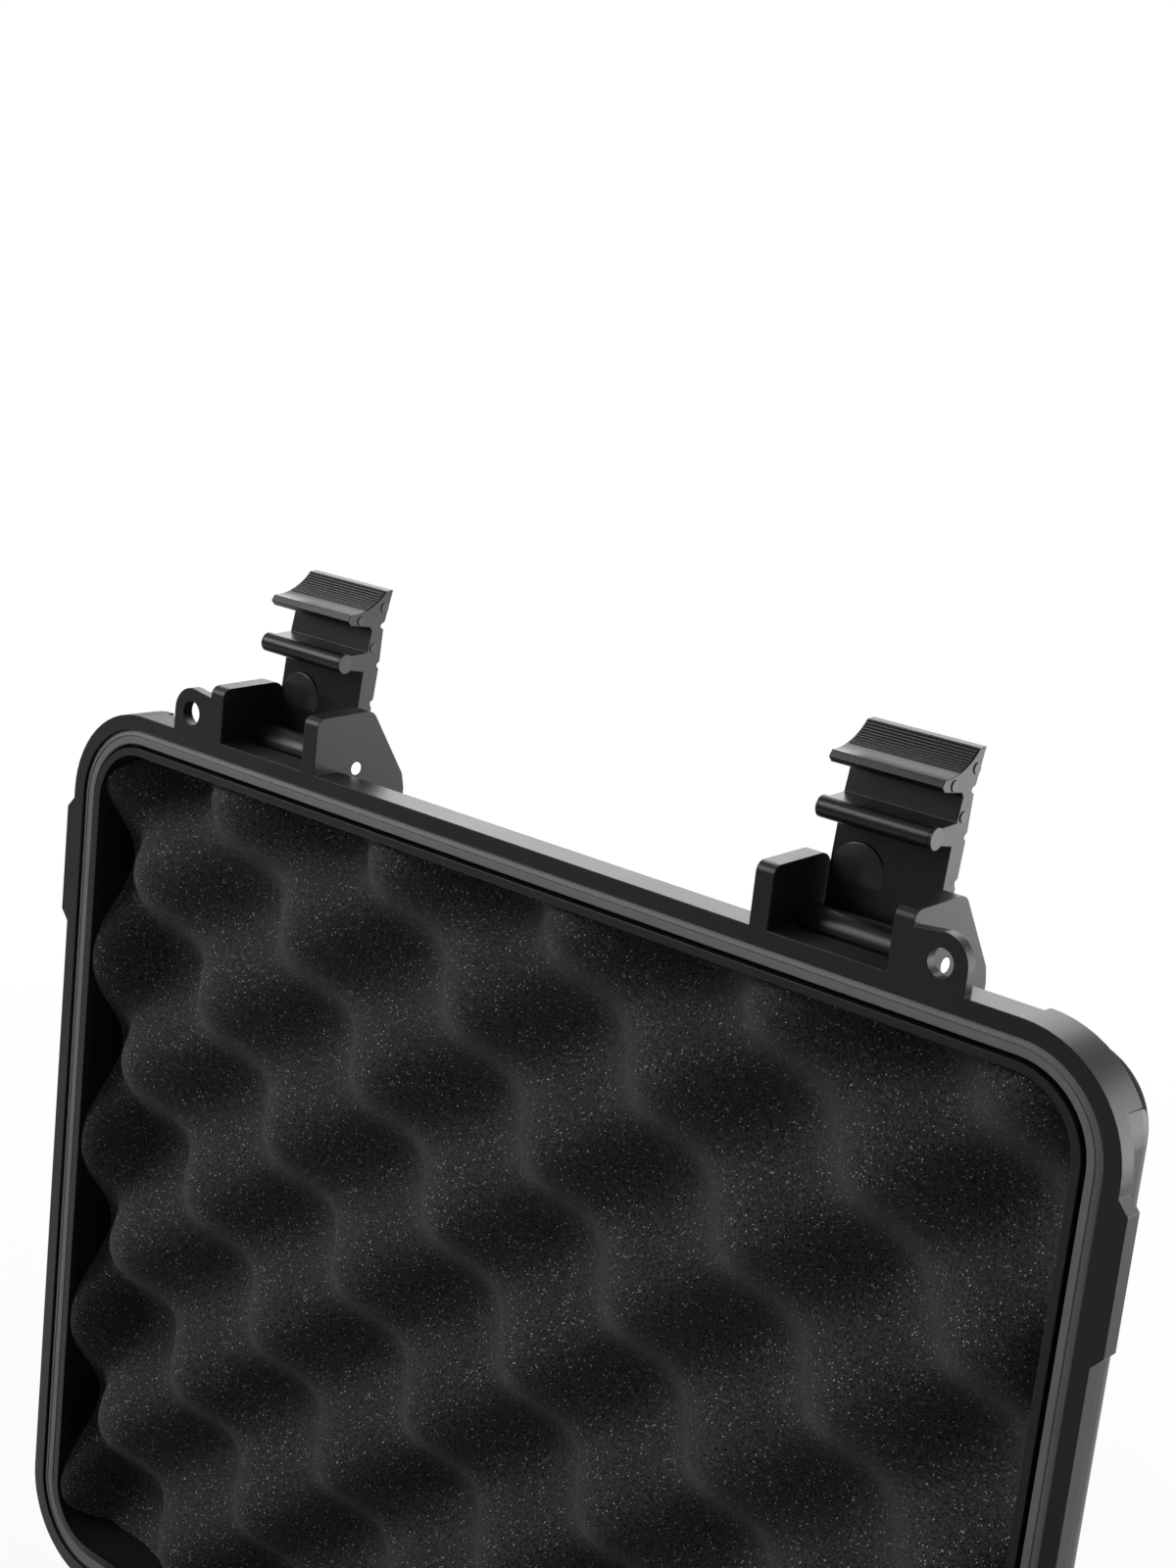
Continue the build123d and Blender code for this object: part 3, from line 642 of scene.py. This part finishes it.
class CASE_OT_latch_marks(bpy.types.Operator):
    """Make the thumb ridges, ejector marks and bar ends of both latches"""
    bl_idname = "magnet_case.latch_marks"
    bl_label = "Latch marks"

    def execute(self, context):
        look = context.scene.latch_marks
        plastic = context.scene.plastic_look
        satin = moulded_plastic("mark_plastic", plastic, plastic.roughness - 0.10, 0.00001, 1.9, 0.1)
        worn = moulded_plastic("worn_plastic", plastic, 0.26, 0.00003, 1.9, 0.5)
        for side, centre in (("left", -LATCH_X), ("right", LATCH_X)):
            ridges = show("thumb_ridges_" + side, self.ridges(look, centre, satin))
            marks = show("moulding_marks_" + side, self.marks(look, centre, satin))
            dish = show("stem_mark_" + side, self.dish(centre, worn))
            for piece in (ridges, marks, dish):
                piece.data.transform(LID)
                smooth_by_angle(piece.data)
                seat(piece, side + "_latch", "latch_plastic")
        return {"FINISHED"}

    def ridges(self, look, centre, material):
        """Half-round ridges that follow the dished face of the thumb lip."""
        tree = Tree("thumb_ridges", {
            "Count": ("NodeSocketInt", look.ridges), "Step": ("NodeSocketFloat", look.pitch / THUMB_R),
            "Radius": ("NodeSocketFloat", look.ridge),
            "Length": ("NodeSocketFloat", LATCH_W - 0.5 * MM),
            "Dish": ("NodeSocketFloat", THUMB_R), "Centre": ("NodeSocketFloat", centre)})
        row = tree.node("GeometryNodeMeshLine", None, {0: tree.input("Count")})
        turn = tree.math("MULTIPLY", tree.node("GeometryNodeInputIndex").outputs[0], tree.input("Step"))
        turn = tree.math("SUBTRACT", THUMB_TIP, turn)
        v = tree.math("MULTIPLY", tree.math("COSINE", turn), tree.input("Dish"))
        w = tree.math("MULTIPLY", tree.math("SINE", turn), tree.input("Dish"))
        v, w = tree.math("ADD", v, THUMB_V), tree.math("ADD", w, THUMB_W)
        spot = tree.node("ShaderNodeCombineXYZ", None, {0: tree.input("Centre"), 1: v, 2: w})
        row = tree.node("GeometryNodeSetPosition", None, {
            0: row.outputs[0], "Position": spot.outputs[0]})
        rod = tree.node("GeometryNodeMeshCylinder", None, {
            "Vertices": 10, "Radius": tree.input("Radius"), "Depth": tree.input("Length")})
        rods = tree.node("GeometryNodeInstanceOnPoints", None, {
            0: row.outputs[0], "Instance": rod.outputs[0], "Rotation": (0.0, math.pi / 2, 0.0)})
        tree.finish(rods.outputs[0], material)
        return tree.mesh("thumb_ridges")

    def marks(self, look, centre, material):
        """Ejector marks on the latch's right-hand side, and the closed ends of its hook bar."""
        build = bmesh.new()
        for v, w in EJECTOR_MARKS:
            self.disc(build, (centre + LATCH_W / 2, v, w), look.dimple, MARK_DEPTH)
        for side in (-1, 1):
            self.disc(build, (centre + side * LATCH_W / 2, BAR_V, BAR_W), BAR_R, BAR_CAP)
        bmesh.ops.bevel(build, geom=build.edges, offset=0.12 * MM, segments=2, affect="EDGES")
        return self.done(build, "moulding_marks", material)

    def disc(self, build, middle, radius, depth):
        place = Matrix.Translation(middle) @ Matrix.Rotation(math.pi / 2, 4, "Y")
        bmesh.ops.create_cone(
            build, cap_ends=True, segments=24, radius1=radius, radius2=radius, depth=depth,
            matrix=place)

    def dish(self, centre, material):
        """The shallow round moulding mark on the stem."""
        build = bmesh.new()
        middle = Vector(STEM_MARK) + Vector((centre, 0, 0))
        place = Matrix.Translation(middle) @ Matrix.Rotation(0.02, 4, "X")
        bmesh.ops.create_cone(
            build, cap_ends=True, segments=48, radius1=STEM_MARK_R,
            radius2=STEM_MARK_R - 0.5 * MM, depth=0.24 * MM, matrix=place)
        return self.done(build, "stem_mark", material)

    def done(self, build, name, material):
        mesh = bpy.data.meshes.new(name)
        build.to_mesh(mesh)
        build.free()
        mesh.materials.append(material)
        return mesh


class CASE_OT_lid_foam(bpy.types.Operator):
    """Make the egg-crate foam in the lid"""
    bl_idname = "magnet_case.lid_foam"
    bl_label = "Lid foam"

    def execute(self, context):
        look = context.scene.foam_look
        mesh = self.wave_block(look, foam_finish("lid_foam", look))
        self.close_back(mesh)
        mesh.transform(LID)
        mesh.shade_smooth()
        piece = show("egg_crate_foam", mesh)
        seat(piece, "lid", "lid_foam", "lid_foam")
        return {"FINISHED"}

    def wave_block(self, look, material):
        """A grid shaped by two crossed waves, rounded at its corners, with sides down to the back."""
        width, depth, radius = RIM_W - 2 * FOAM_IN, RIM_D - 2 * FOAM_IN, RIM_R - FOAM_IN
        tree = Tree("egg_crate", {
            "Width": ("NodeSocketFloat", width), "Depth": ("NodeSocketFloat", depth),
            "Corner": ("NodeSocketFloat", radius), "Pitch U": ("NodeSocketFloat", look.pitch_u),
            "Pitch V": ("NodeSocketFloat", look.pitch_v),
            "Middle": ("NodeSocketFloat", look.middle), "Swing": ("NodeSocketFloat", look.swing),
            "Peak U": ("NodeSocketFloat", look.peak_u), "Peak V": ("NodeSocketFloat", look.peak_v),
            "Lift": ("NodeSocketFloat", look.lift), "Back": ("NodeSocketFloat", FOAM_BACK)})
        grid = tree.node("GeometryNodeMeshGrid", None, {
            "Size X": tree.input("Width"), "Size Y": tree.input("Depth"),
            "Vertices X": look.rows, "Vertices Y": round(look.rows * depth / width)})
        where = tree.node("GeometryNodeInputPosition").outputs[0]
        parts = tree.node("ShaderNodeSeparateXYZ", None, {0: where}).outputs
        sides = [tree.input("Width"), tree.input("Depth")]
        over = []
        for axis in (0, 1):
            straight = tree.math("MULTIPLY", sides[axis], 0.5)
            straight = tree.math("SUBTRACT", straight, tree.input("Corner"))
            over.append(tree.math("SUBTRACT", tree.math("ABSOLUTE", parts[axis]), straight))
        longest = tree.math("MAXIMUM", over[0], over[1])
        squares = [tree.math("POWER", part, 2.0) for part in over]
        reach = tree.math("SQRT", tree.math("ADD", squares[0], squares[1]))
        past = [tree.math("GREATER_THAN", part, 0.0) for part in over]
        corner = tree.math("MULTIPLY", past[0], past[1])
        pull = tree.math("DIVIDE", longest, tree.math("MAXIMUM", reach, 1e-6))
        pull = tree.math("SUBTRACT", pull, 1.0)
        pull = tree.math("MULTIPLY", pull, corner)
        places = []
        for axis in (0, 1):
            step = tree.math("MULTIPLY", over[axis], pull)
            step = tree.math("MULTIPLY", step, tree.math("SIGN", parts[axis]))
            places.append(tree.math("ADD", parts[axis], step))
        u_place = tree.math("ADD", places[0], -FOAM_LEFT)
        v_place = tree.math("SUBTRACT", places[1], RIM_D / 2)
        waves = []
        for place, way in ((u_place, "U"), (v_place, "V")):
            past_peak = tree.math("SUBTRACT", place, tree.input("Peak " + way))
            turns = tree.math("DIVIDE", past_peak, tree.input("Pitch " + way))
            waves.append(tree.math("COSINE", tree.math("MULTIPLY", turns, 2 * math.pi)))
        height = tree.math("MULTIPLY", tree.math("MULTIPLY", waves[0], waves[1]), tree.input("Swing"))
        height = tree.math("ADD", height, tree.input("Middle"))
        height = self.lifted(tree, u_place, waves[1], height, -FOAM_LEFT - width / 2)
        target = tree.node("ShaderNodeCombineXYZ", None, {0: u_place, 1: v_place, 2: height})
        shaped = tree.node("GeometryNodeSetPosition", None, {
            0: grid.outputs[0], "Position": target.outputs[0]})
        edges = tree.node("GeometryNodeInputMeshEdgeNeighbors").outputs[0]
        border = tree.node("FunctionNodeCompare", {"data_type": "INT", "operation": "EQUAL"}, {
            2: edges, 3: 1})
        skirt = tree.node("GeometryNodeExtrudeMesh", {"mode": "EDGES"}, {
            0: shaped.outputs[0], "Selection": border.outputs[0], "Offset Scale": 0.0})
        at = tree.node("ShaderNodeSeparateXYZ", None, {
            0: tree.node("GeometryNodeInputPosition").outputs[0]}).outputs
        low = tree.node("ShaderNodeCombineXYZ", None, {0: at[0], 1: at[1], 2: tree.input("Back")})
        block = tree.node("GeometryNodeSetPosition", None, {
            0: skirt.outputs[0], "Selection": skirt.outputs[1], "Position": low.outputs[0]})
        tree.finish(block.outputs[0], material)
        return tree.mesh("egg_crate_foam")

    def lifted(self, tree, u_place, wave, height, wall):
        """By the left wall the pressed-in sheet stands up, and its bumps reach the lip."""
        near = tree.node("ShaderNodeMapRange", {"interpolation_type": "SMOOTHSTEP"}, {
            0: u_place, 1: tree.input("Lift"), 2: wall}).outputs[0]
        hollow = tree.math("MULTIPLY", tree.math("SUBTRACT", 1.0, wave), 0.5)
        fall = tree.math("MULTIPLY", tree.math("POWER", hollow, 1.2), EDGE_FALL)
        edge = tree.math("SUBTRACT", EDGE_PEAK, fall)
        climb = tree.math("MULTIPLY", near, tree.math("SUBTRACT", edge, height))
        return tree.math("ADD", height, climb)

    def close_back(self, mesh):
        build = bmesh.new()
        build.from_mesh(mesh)
        loose = [edge for edge in build.edges if edge.is_boundary]
        bmesh.ops.edgeloop_fill(build, edges=loose)
        bmesh.ops.recalc_face_normals(build, faces=build.faces)
        build.to_mesh(mesh)
        build.free()


class CASE_OT_insert(bpy.types.Operator):
    """Make the base's foam insert and the pad below it"""
    bl_idname = "magnet_case.insert"
    bl_label = "Base foams"

    def execute(self, context):
        material = foam_finish("insert_foam", context.scene.foam_look)
        for node, name in (("base_foam_insert", "cut_foam"), ("base_floor_pad", "floor_foam")):
            piece = self.rounded_copy(node, name, material)
            seat(piece, "base", "insert_foam", node)
        return {"FINISHED"}

    def rounded_copy(self, node, name, material):
        """The cut block with its edges eased, as knife-cut foam has them."""
        build = bmesh.new()
        build.from_mesh(frame["nodes"][node].data)
        bmesh.ops.remove_doubles(build, verts=build.verts, dist=0.00001)
        bmesh.ops.dissolve_limit(
            build, angle_limit=math.radians(1.0), verts=build.verts, edges=build.edges)
        mesh = bpy.data.meshes.new(name)
        build.to_mesh(mesh)
        build.free()
        mesh.materials.append(material)
        piece = show(name, mesh)
        ease = piece.modifiers.new("ease", "BEVEL")
        ease.width = 1.2 * MM
        ease.segments = 2
        ease.limit_method = "ANGLE"
        ease.angle_limit = math.radians(40)
        smooth_by_angle(mesh)
        return piece


class CASE_PT_panel(bpy.types.Panel):
    """Lists the case's makers"""
    bl_label = "Magnet case"
    bl_idname = "CASE_PT_panel"
    bl_space_type = "VIEW_3D"
    bl_region_type = "UI"
    bl_category = "Magnet case"

    def draw(self, context):
        for maker in MAKERS:
            self.layout.operator(maker.bl_idname, text=maker.bl_label)


MAKERS = (
    CASE_OT_camera, CASE_OT_mouldings, CASE_OT_seal, CASE_OT_latch_marks, CASE_OT_lid_foam,
    CASE_OT_insert, CASE_OT_stage)
LOOKS = {
    "camera_place": CameraPlace,
    "plastic_look": PlasticLook,
    "foam_look": FoamLook,
    "seal_look": SealLook,
    "latch_marks": LatchMarks,
    "stage_look": StageLook,
}


def register():
    for name, kind in LOOKS.items():
        bpy.utils.register_class(kind)
        setattr(bpy.types.Scene, name, PointerProperty(type=kind))
    for kind in MAKERS + (CASE_PT_panel,):
        bpy.utils.register_class(kind)


def unregister():
    for kind in reversed(MAKERS + (CASE_PT_panel,)):
        bpy.utils.unregister_class(kind)
    for name, kind in LOOKS.items():
        delattr(bpy.types.Scene, name)
        bpy.utils.unregister_class(kind)


def main():
    register()
    bpy.ops.magnet_case.camera()
    bpy.ops.magnet_case.mouldings()
    bpy.ops.magnet_case.seal()
    bpy.ops.magnet_case.latch_marks()
    bpy.ops.magnet_case.lid_foam()
    bpy.ops.magnet_case.insert()
    bpy.ops.magnet_case.stage()


if __name__ == "__main__":
    main()
